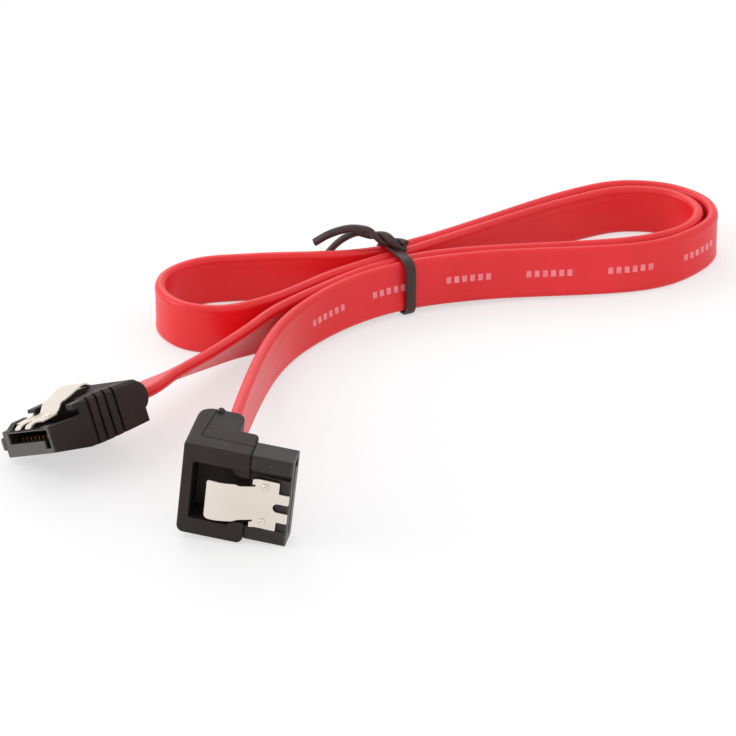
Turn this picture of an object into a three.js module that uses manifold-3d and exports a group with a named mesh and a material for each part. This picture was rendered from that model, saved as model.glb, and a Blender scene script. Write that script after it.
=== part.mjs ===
// A flat data cable, folded in four and tied, with a straight plug on one end and a right-angle plug
// on the other.
// Millimetres, +Z up, +X along the folded cable, +Y away from the plugs. The floor is Z = 0.
import * as THREE from "three";
import { mergeVertices } from "three/addons/utils/BufferGeometryUtils.js";
import Module from "manifold-3d";

const wasm = await Module();
wasm.setup();

const plugWidth = 14.35; // across the plug's head
const headThick = 4.1;
const headLong = 6.3; // how far the head stands out of its boot
const railWide = 2.4; // raised rail on each side of the head
const cheek = 1.1; // thickness of the boot's side walls
const seam = 0.3; // gap between two pieces that touch

const contactPitch = 1.27;
const contactCount = 7;
const contactWide = 0.8;
const contactThick = 0.25;
const slotHigh = 1.4;
const slotWide = (contactCount + 1.2) * contactPitch;
const slotFloor = 1.4; // up from the underside of the head
const slotDeep = headLong - 0.9;
const keyDeep = 1.1; // the leg of the L-shaped slot

const sheet = 0.3; // spring steel of the latch
const plateTop = headThick - 0.2;
const plateWide = plugWidth - 2 * railWide - 1.55; // clear between the rails
const padWide = plateWide - 1.4;
const neckWide = padWide - 1.3; // the pad is narrower at its fold
const latchShift = -0.6; // the latch sits off the middle, away from the key
const prongWide = 2.2;
const pressAngle = 5; // degrees that the latch gives when it is pressed

const cableWide = 8.4;
const cableThick = 1.8;
const tieWide = 1.8;
const tieThick = 0.5;
const tieRound = 1.05; // across each wound end of the tie

// each latch: its length, the share of it that the plate takes, and the height of its top face over
// the plate's front edge at shares of that length
const straightLatch = {
  long: headLong + 5.1, plate: 0.4,
  rise: [[0.26, 0.7], [0.39, 1.1], [0.46, 1.2], [0.54, 2.4], [0.7, 3.1], [0.88, 3.95], [1, 3.6]],
};
const angleLatch = {
  long: headLong + 5.9, plate: 0.47,
  rise: [[0.4, 0], [0.49, 0.6], [0.66, 1.4], [0.85, 1.9], [1, 1.8]],
};

const straightBoot = { long: 10.5, high: 6.4, under: 1.1, wide: plugWidth + 0.1, bevel: 1.1 };
const angleBoot = {
  long: 9.7, deep: 10.4, arm: 6, high: plugWidth + 0.9, drop: 0.2, front: 0.4, exit: 6.9, round: 1.6,
};

function solid(geometry) {
  const plain = geometry.clone();
  plain.deleteAttribute("normal");
  plain.deleteAttribute("uv");
  const merged = mergeVertices(plain, 1e-4);
  return new wasm.Manifold(
    new wasm.Mesh({
      numProp: 3,
      vertProperties: new Float32Array(merged.attributes.position.array),
      triVerts: new Uint32Array(merged.index.array),
    }),
  );
}

function box(x0, x1, y0, y1, z0, z1) {
  const g = new THREE.BoxGeometry(x1 - x0, y1 - y0, z1 - z0);
  return solid(g.translate((x0 + x1) / 2, (y0 + y1) / 2, (z0 + z1) / 2));
}

// A side view in X and Z, run across from y0 to y1.
function sideCut(outline, y0, y1) {
  const shape = new THREE.Shape(outline.map(([x, z]) => new THREE.Vector2(x, z)));
  const g = new THREE.ExtrudeGeometry(shape, { depth: y1 - y0, bevelEnabled: false });
  return solid(g.rotateX(Math.PI / 2).translate(0, y1, 0));
}

// A plan view in X and Y, run up from z0 to z1.
function planCut(shape, z0, z1) {
  return solid(new THREE.ExtrudeGeometry(shape, { depth: z1 - z0, bevelEnabled: false, curveSegments: 6 })
    .translate(0, 0, z0));
}

function roundedRect(x0, x1, y0, y1, r) {
  const s = new THREE.Shape();
  s.moveTo(x0 + r, y0);
  s.lineTo(x1 - r, y0).absarc(x1 - r, y0 + r, r, -Math.PI / 2, 0, false);
  s.lineTo(x1, y1 - r).absarc(x1 - r, y1 - r, r, 0, Math.PI / 2, false);
  s.lineTo(x0 + r, y1).absarc(x0 + r, y1 - r, r, Math.PI / 2, Math.PI, false);
  s.lineTo(x0, y0 + r).absarc(x0 + r, y0 + r, r, Math.PI, Math.PI * 1.5, false);
  return s;
}

// A block whose edges are all eased by r, made along X.
function easedBlock(x0, x1, y0, y1, z0, z1, r) {
  const g = new THREE.ExtrudeGeometry(roundedRect(y0 + r, y1 - r, z0 + r, z1 - r, r / 2), {
    depth: x1 - x0 - 2 * r, bevelThickness: r, bevelSize: r, bevelSegments: 3, curveSegments: 3,
  });
  g.applyMatrix4(new THREE.Matrix4().makeBasis(
    new THREE.Vector3(0, 1, 0), new THREE.Vector3(0, 0, 1), new THREE.Vector3(1, 0, 0)));
  return solid(g.translate(x0 + r, 0, 0));
}

function geometryOf(manifold) {
  const m = manifold.getMesh();
  const g = new THREE.BufferGeometry();
  const v = new Float32Array(m.numVert * 3);
  for (let i = 0; i < m.numVert; i++) {
    v.set(m.vertProperties.subarray(i * m.numProp, i * m.numProp + 3), i * 3);
  }
  g.setAttribute("position", new THREE.BufferAttribute(v, 3));
  g.setIndex(new THREE.BufferAttribute(m.triVerts, 1));
  g.computeVertexNormals();
  return g;
}

const looks = {
  shell: { color: 0x1d1a1a, roughness: 0.6 },
  boot: { color: 0x242020, roughness: 0.7 },
  steel: { color: 0xd8d0c6, metalness: 1, roughness: 0.35 },
  gold: { color: 0xc99a4a, metalness: 1, roughness: 0.3 },
  jacket: { color: 0xd8262a, roughness: 0.45 },
  tie: { color: 0x2e2a28, roughness: 0.55 },
};

function mesh(name, manifold, look) {
  const m = new THREE.Mesh(geometryOf(manifold), new THREE.MeshStandardMaterial(looks[look]));
  m.name = name;
  return m;
}

// The head, which both plugs share: the mating face is at X = 0 and looks along +X, the width is along Y,
// and the latch lies on the +Z side.
function head() {
  const half = plugWidth / 2;
  const recess = half - railWide;
  const press = Math.tan(THREE.MathUtils.degToRad(pressAngle + 1));
  const keyWide = 1.5;
  const slotY = latchShift - 0.1;
  let made = easedBlock(-headLong, 0, -half, half, 0, headThick, 0.25);
  made = made.subtract(box(-slotDeep, 1, slotY - slotWide / 2, slotY + slotWide / 2,
    slotFloor, slotFloor + slotHigh));
  made = made.subtract(box(-slotDeep, 1, slotY + slotWide / 2 - 0.1, slotY + slotWide / 2 + keyWide,
    slotFloor - keyDeep, slotFloor + slotHigh));
  // the bed of the latch falls away behind its front edge, so that the latch can be pressed
  const bed = plateTop - sheet - 0.1;
  return made.subtract(sideCut([[-0.3, headThick + 1], [-0.3, bed],
    [-headLong - 1, bed - (headLong + 0.7) * press], [-headLong - 1, headThick + 1]], -recess, recess));
}
function contacts(name) {
  const made = [];
  const first = latchShift - 0.1 - ((contactCount - 1) / 2) * contactPitch;
  for (let i = 0; i < contactCount; i++) {
    const y = first + i * contactPitch;
    const strip = box(-slotDeep + 0.1, -1, y - contactWide / 2, y + contactWide / 2,
      slotFloor + 0.1, slotFloor + 0.1 + contactThick);
    made.push(mesh(`${name}_contact_${i + 1}`, strip, "gold"));
  }
  return made;
}

// The latch is one bent strip: a front plate with two prongs, and a pad that rises behind it.
function latch({ long, plate, rise }) {
  const tip = -0.5;
  const top = [[tip, plateTop], ...rise.map(([share, up]) => [-share * long, plateTop + up])];
  const under = top.slice(1).map(([x, z], i) => {
    const [px, pz] = top[i];
    const [nx, nz] = top[Math.min(i + 2, top.length - 1)];
    const l = Math.hypot(nx - px, nz - pz);
    return [x - ((nz - pz) / l) * sheet, z + ((nx - px) / l) * sheet];
  });
  const side = [...top, ...under.reverse(), [tip, plateTop - sheet]];
  const half = plateWide / 2;
  const notchY = latchShift - 0.3;
  let made = sideCut(side, latchShift - half, latchShift + half);
  // in plan the plate narrows to the pad, which widens again to its round corners
  const end = -long - 0.4;
  const fold = -plate * long;
  const pad = new THREE.Shape();
  pad.moveTo(tip - 1.4, latchShift - neckWide / 2);
  pad.lineTo(tip - 1.4, latchShift + neckWide / 2).lineTo(fold - 1, latchShift + neckWide / 2);
  pad.lineTo(end + 0.9, latchShift + padWide / 2);
  pad.absarc(end + 0.9, latchShift + padWide / 2 - 0.9, 0.9, Math.PI / 2, Math.PI, false);
  pad.absarc(end + 0.9, latchShift - padWide / 2 + 0.9, 0.9, Math.PI, Math.PI * 1.5, false);
  pad.lineTo(fold - 1, latchShift - neckWide / 2);
  const front = box(fold, tip - 1.4, latchShift - half, latchShift + half, -9, 20);
  const prong = (y) => box(tip - 2, 0, y - prongWide / 2, y + prongWide / 2, -9, 20);
  made = made.intersect(planCut(pad, -9, 20).add(front).add(prong(notchY - 1.9)).add(prong(notchY + 1.9)));
  // the notch between the prongs runs into the plate
  made = made.subtract(planCut(roundedRect(tip - 2.3, 1, notchY - 0.8, notchY + 0.8, 0.75), -9, 20));
  // two small bumps that catch the socket
  const at = tip - 3.4;
  const i = top.findIndex(([x]) => x < at);
  const slope = (top[i][1] - top[i - 1][1]) / (top[i][0] - top[i - 1][0]);
  const level = top[i][1] + (at - top[i][0]) * slope;
  for (const y of [-half + 1.3, half - 1.3]) {
    const bump = new THREE.CylinderGeometry(0.3, 0.55, 0.35, 12).rotateX(Math.PI / 2);
    made = made.add(solid(bump.translate(at, latchShift + y, level + 0.1)));
  }
  return made;
}

function straightPlug() {
  const { long, high, under, wide, bevel } = straightBoot;
  const half = plugWidth / 2;
  const front = -headLong - seam;
  const back = front - long;
  // the head, with a cheek on each side that the boot's walls carry on, and a small rib on the far side
  let shell = head();
  const cheekFront = -headLong + 1.6;
  for (const side of [-1, 1]) {
    const y = [side * (half - bevel), side * (half - bevel - cheek)].sort((a, b) => a - b);
    shell = shell.add(sideCut([[-headLong, headThick - 1], [cheekFront, headThick - 1],
      [cheekFront - 0.3, high - 0.5], [cheekFront - 0.6, high], [-headLong, high]], y[0], y[1]));
  }
  shell = shell.add(box(-headLong + 0.6, -0.3, -half - 0.7, -half + 0.3, 0.9, 2.7));
  // the boot
  let boot = easedBlock(back, front, -wide / 2, wide / 2, -under, high, 0.5);
  boot = boot.subtract(sideCut([[front + 1, -under - 1], [front + 1, -under], [front - 2, -under],
    [back - 1, -under / 4], [back - 1, -under - 1]], -wide, wide));
  // its long top edges are cut back
  for (const side of [-1, 1]) {
    const edge = new THREE.BoxGeometry(long + 2, 3 * bevel, 2 * bevel).rotateX(side * -Math.PI / 4);
    edge.translate((front + back) / 2, side * (wide / 2 + bevel / 4), high + bevel / 4);
    boot = boot.subtract(solid(edge));
  }
  // the pocket that the pad of the latch is pressed into, with a ramp out at the back
  const pocket = padWide / 2 + 0.9;
  const deepEnd = -straightLatch.long - 0.4;
  boot = boot.subtract(sideCut([[front + 1, high + 1], [front + 1, 2.5], [deepEnd, 2.5], [deepEnd, 4.4],
    [back + 1.4, high], [back + 1.4, high + 1]], latchShift - pocket, latchShift + pocket));
  // four grip grooves on each narrow side
  for (let i = 0; i < 4; i++) {
    const x = front - 1.2 - i * 1.55;
    for (const side of [-1, 1]) {
      const y = side * (wide / 2 + 0.6);
      boot = boot.subtract(box(x - 0.25, x + 0.25, y - 0.95, y + 0.95, -9, high - 0.55));
    }
  }
  // a round nose behind, where the cable comes out
  const nose = new THREE.CylinderGeometry(2.3, 2.3, cableWide + 3, 24).scale(0.75, 1, 1);
  boot = boot.add(solid(nose.translate(back + 0.5, 0, 3.7)));
  const made = new THREE.Group();
  made.add(
    mesh("straight_housing", shell, "shell"),
    mesh("straight_overmould", boot, "boot"),
    mesh("straight_latch", latch(straightLatch), "steel"),
    ...contacts("straight"),
  );
  return made;
}

function anglePlug() {
  const { long, deep, arm, high, drop, front, exit, round } = angleBoot;
  const face = headThick + front; // the side that carries the latch
  const right = -headLong - seam;
  const left = right - long;
  const shell = head();
  // the boot is an L seen from above: full length beside the head, and a narrower block behind it
  // for the cable, with its far corners well rounded
  const ease = 0.4;
  const low = -high / 2 - drop;
  const plan = new THREE.Shape();
  const [l, r, f, b, m, e] = [left + ease, right - ease, face - ease, face - deep + ease,
    face - arm + ease, left + exit - ease];
  const far = round - ease;
  plan.moveTo(l, f);
  plan.lineTo(l, b + far).absarc(l + far, b + far, far, Math.PI, Math.PI * 1.5, false);
  plan.lineTo(e - far, b).absarc(e - far, b + far, far, Math.PI * 1.5, Math.PI * 2, false);
  plan.lineTo(e, m).lineTo(r - far / 2, m);
  plan.absarc(r - far / 2, m + far / 2, far / 2, Math.PI * 1.5, Math.PI * 2, false);
  plan.lineTo(r, f);
  const block = new THREE.ExtrudeGeometry(plan, {
    depth: high - 2 * ease, bevelThickness: ease, bevelSize: ease, bevelSegments: 3, curveSegments: 5,
  });
  let boot = solid(block.rotateX(Math.PI / 2).translate(0, low + high - ease, 0));
  // the window that the latch moves in, open towards the head
  const reach = 9.6 / 2;
  boot = boot.subtract(box(left + 1.85, right + 1, latchShift / 2 - reach, latchShift / 2 + reach,
    face - 3.4, face + 1));
  for (const side of [-1, 1]) {
    const ear = new THREE.CylinderGeometry(1.5, 1.5, 1.4, 20).rotateX(Math.PI / 2).scale(1.2, 1, 1);
    boot = boot.add(solid(ear.translate(right - 1, latchShift + side * (padWide / 2 + 1.9), face - 1.2))
      .intersect(box(left, right, -9, 9, -9, 9)));
  }
  const made = new THREE.Group();
  made.add(
    mesh("angle_housing", shell, "shell"),
    mesh("angle_overmould", boot, "boot"),
    mesh("angle_latch", latch(angleLatch), "steel"),
    ...contacts("angle"),
  );
  return made;
}

// The flat cable's middle line from the right-angle plug to the straight one, with the lean of the
// flat in degrees. It runs right, round the outer loop, back left, round the left loop, right again,
// round the inner loop, and out to the straight plug, where it has turned on its side.
const route = [
  [12.3, -6.8, 8.9, -7], [13.2, 2, 8.6, -5], [18.1, 34.1, 5, 0], [22.5, 44.5, 4.5, 3], [29.6, 52.4, 4.9, 6],
  [38.5, 58.4, 5, 6], [51, 62.6, 4.8, 7], [78.5, 67.6, 4.2, 7], [85.8, 72.3, 4.2, 3], [90.1, 79, 4.2, 0],
  [89.3, 85.6, 4.2, 0], [83.5, 91, 4.2, 0], [75.5, 92.2, 4.2, 0], [67.5, 88.7, 4.3, 0], [39.7, 67, 5, 0],
  [31, 63.5, 4.9, 0], [14.5, 63, 4.4, 0], [5, 61.6, 4.2, 0], [0.2, 57, 4.2, 0], [-0.4, 51, 4.2, 0],
  [3.3, 45.6, 4.2, 0], [9.5, 44.2, 4.2, 0], [17.2, 47.5, 4.4, 0], [27.5, 56, 4.9, 0], [39.5, 64.4, 5, 0],
  [67, 85.9, 4.2, 0], [76, 89.9, 4.2, 0], [84, 88.3, 4.2, 0], [87.9, 82, 4.2, 0], [85.6, 75, 4.2, -3],
  [78, 69.8, 4.3, -7], [44, 62.9, 4.9, -6], [33.2, 57.5, 4.9, -4], [24, 50, 4.6, 0], [17.6, 44.4, 4.4, 10],
  [12.5, 39, 4.5, 34], [6.5, 30.3, 5.5, 49], [0.6, 21, 6.9, 59], [-2.1, 16.3, 7.3, 63],
  [-3.6, 14.9, 7.3, 63.7],
];

// A smooth line through the points, whose frames keep the wide side of the flat at the lean asked for.
class FlatRoute extends THREE.CatmullRomCurve3 {
  constructor(rows) {
    super(rows.map(([x, y, z]) => new THREE.Vector3(x, y, z)));
    this.leans = rows.map((row) => THREE.MathUtils.degToRad(row[3]));
  }
  getSpacedPoints(steps) {
    return this.getPoints(steps);
  }
  computeFrenetFrames(steps) {
    const frames = { tangents: [], normals: [], binormals: [] };
    for (let i = 0; i <= steps; i++) {
      const at = (i / steps) * (this.leans.length - 1);
      const before = Math.min(Math.floor(at), this.leans.length - 2);
      const lean = THREE.MathUtils.lerp(this.leans[before], this.leans[before + 1], at - before);
      const tangent = this.getTangent(i / steps);
      const upright = new THREE.Vector3(0, 0, 1).addScaledVector(tangent, -tangent.z).normalize();
      const beside = new THREE.Vector3().crossVectors(upright, tangent);
      const width = upright.multiplyScalar(Math.cos(lean)).addScaledVector(beside, Math.sin(lean));
      frames.tangents.push(tangent);
      frames.normals.push(new THREE.Vector3().crossVectors(width, tangent));
      frames.binormals.push(width);
    }
    return frames;
  }
}

function flatSection() {
  const r = cableThick / 2;
  const straight = cableWide / 2 - r;
  const s = new THREE.Shape();
  for (let i = 0; i < 12; i++) {
    const upper = i < 6;
    const a = ((upper ? i : i - 1) * Math.PI) / 5;
    const x = r * Math.cos(a);
    const y = r * Math.sin(a) + (upper ? straight : -straight);
    if (i) s.lineTo(x, y);
    else s.moveTo(x, y);
  }
  return s;
}

function flatCable() {
  return solid(new THREE.ExtrudeGeometry(flatSection(), {
    steps: 2 * (route.length - 1), bevelEnabled: false, extrudePath: new FlatRoute(route),
  }));
}

const tieAt = { x: 37.3, y: 61.7, turn: 27, across: 10, high: cableWide + 2 * (seam + tieThick) };

function strand(points, radius) {
  const shape = new THREE.Shape().absarc(0, 0, radius, 0, Math.PI * 2, false);
  const path = new THREE.CatmullRomCurve3(points.map((p) => new THREE.Vector3(...p)));
  return solid(new THREE.ExtrudeGeometry(shape, {
    steps: 3 * (points.length - 1), curveSegments: 4, bevelEnabled: false, extrudePath: path,
  }));
}

function twistTie() {
  const { x, y, turn, across, high } = tieAt;
  const w = across / 2 + tieThick;
  const outer = roundedRect(-w, w, 0, high, 1.2);
  outer.holes.push(roundedRect(-w + tieThick, w - tieThick, tieThick, high - tieThick, 0.8));
  const band = new THREE.ExtrudeGeometry(outer, { depth: tieWide, bevelEnabled: false, curveSegments: 5 });
  band.translate(0, 0, -tieWide / 2).applyMatrix4(new THREE.Matrix4().makeBasis(
    new THREE.Vector3(0, 1, 0), new THREE.Vector3(0, 0, 1), new THREE.Vector3(1, 0, 0)));
  band.rotateZ(THREE.MathUtils.degToRad(turn)).translate(x, y, 0);
  const top = high;
  // the two ends are wound round each other on top, and lie out to the left
  return solid(band)
    .add(strand([[x + 1.4, y - 0.6, top - 0.1], [x - 0.2, y + 0.4, top + 0.7], [x - 2, y + 0.6, top + 0.9],
      [x - 3.6, y + 1.8, top + 1.9], [x - 5.5, y + 2.6, top + 2.2], [x - 7.5, y + 3, top + 2.3],
      [x - 10.8, y + 3.2, top + 1.3], [x - 13.3, y + 3.6, top - 0.4]], tieRound / 2))
    .add(strand([[x + 0.4, y + 2, top - 0.1], [x - 0.4, y + 1.4, top + 1], [x - 2, y + 2, top + 1.9],
      [x - 4.3, y + 2.6, top + 1.9], [x - 6.7, y + 3.8, top + 1], [x - 9.2, y + 4.6, top - 0.8],
      [x - 11.6, y + 5, top - 2.6]], tieRound / 2));
}

function place(plug, x, y, z, turn, pitch, roll) {
  const rad = THREE.MathUtils.degToRad;
  plug.rotation.set(rad(roll), rad(pitch), rad(turn), "ZYX");
  plug.position.set(x, y, z);
  return plug;
}

const group = new THREE.Group();
group.name = "data_cable";
group.add(
  place(straightPlug(), -17.6, 2.2, 3.9, -142.3, 1.3, 26.3),
  place(anglePlug(), 22.2, -15.2, 7.3, -11.1, 6.8, 92.5),
  mesh("flat_cable", flatCable(), "jacket"),
  mesh("twist_tie", twistTie(), "tie"),
);

export default group;
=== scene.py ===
import math

import bmesh
import bpy
from mathutils import Euler, Matrix, Vector


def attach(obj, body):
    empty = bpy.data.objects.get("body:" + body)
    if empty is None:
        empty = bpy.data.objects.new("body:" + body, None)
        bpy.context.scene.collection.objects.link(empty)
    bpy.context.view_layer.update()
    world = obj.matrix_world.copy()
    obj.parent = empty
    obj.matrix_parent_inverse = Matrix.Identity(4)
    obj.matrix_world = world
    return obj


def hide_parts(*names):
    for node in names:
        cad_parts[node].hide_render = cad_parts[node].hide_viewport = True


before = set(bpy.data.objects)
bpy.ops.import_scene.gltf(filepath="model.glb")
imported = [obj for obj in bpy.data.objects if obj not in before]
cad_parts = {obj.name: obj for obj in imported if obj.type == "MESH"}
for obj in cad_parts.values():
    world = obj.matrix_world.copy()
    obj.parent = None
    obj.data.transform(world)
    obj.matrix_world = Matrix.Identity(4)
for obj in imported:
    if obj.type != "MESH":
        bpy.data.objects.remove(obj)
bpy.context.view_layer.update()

mm = 0.001
scene = bpy.context.scene


# camera, as the photograph was taken
photoCamera = {"place": (0.03274, -0.52091, 0.28516), "tilt": 63.0, "lens": 193.94}

lens = bpy.data.cameras.new("photoCamera")
lens.lens = photoCamera["lens"]
lens.sensor_width = 36
lens.clip_start = 0.01
lens.clip_end = 30
camera = bpy.data.objects.new("photoCamera", lens)
camera.location = photoCamera["place"]
camera.rotation_euler = (math.radians(photoCamera["tilt"]), 0, 0)
scene.collection.objects.link(camera)
scene.camera = camera
print("camera in place")


# small tools for meshes


def newObject(name, data):
    obj = bpy.data.objects.new(name, data)
    scene.collection.objects.link(obj)
    return obj


def makeObject(name, bm, join=1e-5):
    if join:
        bmesh.ops.remove_doubles(bm, verts=bm.verts, dist=join)
    bmesh.ops.recalc_face_normals(bm, faces=bm.faces)
    mesh = bpy.data.meshes.new(name)
    bm.to_mesh(mesh)
    bm.free()
    return newObject(name, mesh)


def settle(obj):
    # the modifiers become plain mesh
    graph = bpy.context.evaluated_depsgraph_get()
    mesh = bpy.data.meshes.new_from_object(obj.evaluated_get(graph), depsgraph=graph)
    obj.modifiers.clear()
    obj.data = mesh
    return obj


def softOutline(corners, steps=5):
    # each corner is (a, b) or (a, b, radius)
    points = []
    for i, corner in enumerate(corners):
        here = Vector(corner[:2])
        radius = corner[2] if len(corner) > 2 else 0
        if not radius:
            points.append(here)
            continue
        back = (Vector(corners[i - 1][:2]) - here).normalized()
        ahead = (Vector(corners[(i + 1) % len(corners)][:2]) - here).normalized()
        half = math.acos(max(-1, min(1, back.dot(ahead)))) / 2
        reach = radius / math.tan(half)
        centre = here + (back + ahead).normalized() * (radius / math.sin(half))
        first = here + back * reach - centre
        last = here + ahead * reach - centre
        a0 = math.atan2(first.y, first.x)
        turn = math.atan2(last.y, last.x) - a0
        turn = (turn + math.pi) % (2 * math.pi) - math.pi
        for k in range(steps + 1):
            a = a0 + turn * k / steps
            points.append(centre + Vector((math.cos(a), math.sin(a))) * radius)
    return points


def prism(name, outline, low, high, along):
    # a flat outline run from low to high along one axis
    place = {
        "x": lambda p, h: (h, p[0], p[1]),
        "y": lambda p, h: (p[0], h, p[1]),
        "z": lambda p, h: (p[0], p[1], h),
    }[along]
    bm = bmesh.new()
    near = [bm.verts.new(place(p, low)) for p in outline]
    far = [bm.verts.new(place(p, high)) for p in outline]
    bm.faces.new(near)
    bm.faces.new(far[::-1])
    for i in range(len(near)):
        j = (i + 1) % len(near)
        bm.faces.new((near[j], near[i], far[i], far[j]))
    return makeObject(name, bm)


def block(name, x0, x1, y0, y1, z0, z1):
    return prism(name, [(x0, y0), (x1, y0), (x1, y1), (x0, y1)], z0, z1, "z")


def cylinder(name, centre, radius, long, along, sides, squash=(1, 1)):
    ring = []
    for i in range(sides):
        a = 2 * math.pi * i / sides
        across, up = radius * squash[0] * math.cos(a), radius * squash[1] * math.sin(a)
        ring.append((centre[0] + across, centre[1] + up))
    return prism(name, ring, centre[2] - long / 2, centre[2] + long / 2, along)


def combine(base, others, operation):
    for other in others:
        step = base.modifiers.new(operation, "BOOLEAN")
        step.operation = operation
        step.solver = "EXACT"
        step.object = other
    settle(base)
    for other in others:
        bpy.data.objects.remove(other)
    return base


def easeEdges(obj, width, segments=2, angle=32, leave=None, flat=0.6):
    bm = bmesh.new()
    bm.from_mesh(obj.data)
    # what the cuts left behind
    bmesh.ops.remove_doubles(bm, verts=bm.verts, dist=0.004)
    bmesh.ops.dissolve_limit(bm, angle_limit=math.radians(flat), verts=bm.verts, edges=bm.edges)
    share = bm.edges.layers.float.new("bevel_weight_edge")
    for edge in bm.edges:
        sharp = len(edge.link_faces) == 2 and edge.calc_face_angle() > math.radians(angle)
        if sharp and not (leave and all(leave(corner.co) for corner in edge.verts)):
            edge[share] = 1
    bm.to_mesh(obj.data)
    bm.free()
    bevel = obj.modifiers.new("eased", "BEVEL")
    bevel.width = width
    bevel.segments = segments
    bevel.limit_method = "WEIGHT"
    bevel.use_clamp_overlap = False
    bevel.miter_outer = "MITER_ARC"
    return settle(obj)


def shadeSoft(obj, angle):
    obj.data.shade_smooth()
    obj.data.set_sharp_from_angle(angle=math.radians(angle))


def smoothFaces(obj, angle=35):
    shadeSoft(obj, angle)
    even = obj.modifiers.new("even", "WEIGHTED_NORMAL")
    even.keep_sharp = True
    even.weight = 60
    return settle(obj)


def seat(obj, matrix):
    # from the plug's own millimetres to its place in the row frame
    obj.data.transform(matrix @ Matrix.Scale(mm, 4))
    obj.data.update()
    return obj


def plugMatrix(x, y, z, turn, pitch, roll):
    angles = Euler([math.radians(a) for a in (roll, pitch, turn)], "XYZ")
    return Matrix.Translation(Vector((x, y, z)) * mm) @ angles.to_matrix().to_4x4()


def dress(obj, material, body, slot, *nodes):
    obj.data.materials.clear()
    obj.data.materials.append(material)
    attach(obj, body)
    if nodes:
        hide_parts(*nodes)
    return obj


def geometryTree(name, inputs):
    tree = bpy.data.node_groups.new(name, "GeometryNodeTree")
    tree.interface.new_socket("Geometry", in_out="OUTPUT", socket_type="NodeSocketGeometry")
    for label, kind in inputs.items():
        tree.interface.new_socket(label, in_out="INPUT", socket_type="NodeSocket" + kind)
    return tree, tree.nodes.new("NodeGroupInput"), tree.nodes.new("NodeGroupOutput")


def repeated(tree, given, instance, axis):
    # copies of one piece in a line: Count of them, Pitch apart
    nodes, links = tree.nodes, tree.links
    row = nodes.new("GeometryNodeMeshLine")
    offset = nodes.new("ShaderNodeCombineXYZ")
    links.new(given.outputs["Pitch"], offset.inputs[axis])
    links.new(given.outputs["Count"], row.inputs["Count"])
    links.new(offset.outputs["Vector"], row.inputs["Offset"])
    copies = nodes.new("GeometryNodeInstanceOnPoints")
    links.new(row.outputs["Mesh"], copies.inputs["Points"])
    links.new(instance, copies.inputs["Instance"])
    return copies.outputs["Instances"]


def finishTree(tree, out, geometry, material):
    nodes, links = tree.nodes, tree.links
    real = nodes.new("GeometryNodeRealizeInstances")
    links.new(geometry, real.inputs["Geometry"])
    paint = nodes.new("GeometryNodeSetMaterial")
    paint.inputs["Material"].default_value = material
    links.new(real.outputs["Geometry"], paint.inputs["Geometry"])
    links.new(paint.outputs["Geometry"], out.inputs["Geometry"])
    return tree


def grow(name, tree, values):
    # an empty mesh that the tree fills, turned into plain mesh at once
    obj = newObject(name, bpy.data.meshes.new(name))
    step = obj.modifiers.new(name, "NODES")
    step.node_group = tree
    for item in tree.interface.items_tree:
        if item.item_type == "SOCKET" and item.in_out == "INPUT" and item.name in values:
            step[item.identifier] = values[item.name]
    return settle(obj)


# materials


def newMaterial(name, colour, roughness, metallic=0.0, specular=0.5):
    made = bpy.data.materials.new(name)
    made.use_nodes = True
    shader = made.node_tree.nodes["Principled BSDF"]
    shader.inputs["Base Color"].default_value = (*colour, 1)
    shader.inputs["Roughness"].default_value = roughness
    shader.inputs["Metallic"].default_value = metallic
    shader.inputs["Specular IOR Level"].default_value = specular
    made.diffuse_color = (*colour, 1)
    return made, made.node_tree, shader


def noiseNode(tree, vector, scale, detail=3.0, rough=0.55):
    made = tree.nodes.new("ShaderNodeTexNoise")
    made.inputs["Scale"].default_value = scale
    made.inputs["Detail"].default_value = detail
    made.inputs["Roughness"].default_value = rough
    tree.links.new(vector, made.inputs["Vector"])
    return made.outputs["Fac"]


def spread(tree, value, fromLow, fromHigh, low, high):
    made = tree.nodes.new("ShaderNodeMapRange")
    limits = {"From Min": fromLow, "From Max": fromHigh, "To Min": low, "To Max": high}
    for label, number in limits.items():
        made.inputs[label].default_value = number
    tree.links.new(value, made.inputs["Value"])
    return made.outputs["Result"]


def sums(tree, operation, a, b):
    made = tree.nodes.new("ShaderNodeMath")
    made.operation = operation
    for socket, value in zip(made.inputs, (a, b)):
        if isinstance(value, (int, float)):
            socket.default_value = value
        else:
            tree.links.new(value, socket)
    return made.outputs[0]


def blendColours(tree, factor, first, second):
    made = tree.nodes.new("ShaderNodeMix")
    made.data_type = "RGBA"
    tree.links.new(factor, made.inputs[0])
    for socket, value in ((made.inputs[6], first), (made.inputs[7], second)):
        if isinstance(value, tuple):
            socket.default_value = (*value, 1)
        else:
            tree.links.new(value, socket)
    return made.outputs[2]


def bumpFrom(tree, height, shader, strength, distance):
    made = tree.nodes.new("ShaderNodeBump")
    made.inputs["Strength"].default_value = strength
    made.inputs["Distance"].default_value = distance
    tree.links.new(height, made.inputs["Height"])
    tree.links.new(made.outputs["Normal"], shader.inputs["Normal"])


jacket = {
    "red": (0.80, 0.012, 0.019),
    "deepRed": (0.73, 0.008, 0.011),
    "mark": (0.90, 0.33, 0.38),
    "roughness": 0.38,
    "sheen": 0.04,
    "sheenRoughness": 0.35,
    "sheenTint": (1, 0.62, 0.7),
    "streaks": (90, 2600, 1),  # fine lines along the cable
    "cloudScale": 70,
    "grainScale": 2400,
    "patchScale": 700,
    "bump": 0.25,
    "bumpHigh": 0.00004,  # m
    "markFrom": 52.0,  # mm: the bars' first and last place along the cable
    "markTo": 142.0,
    "markLong": 0.8,
    "markPitch": 1.36,
    "groupPitch": 13.6,
    "groupLong": 8.16,
    "markHigh": 1.1,
}


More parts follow.
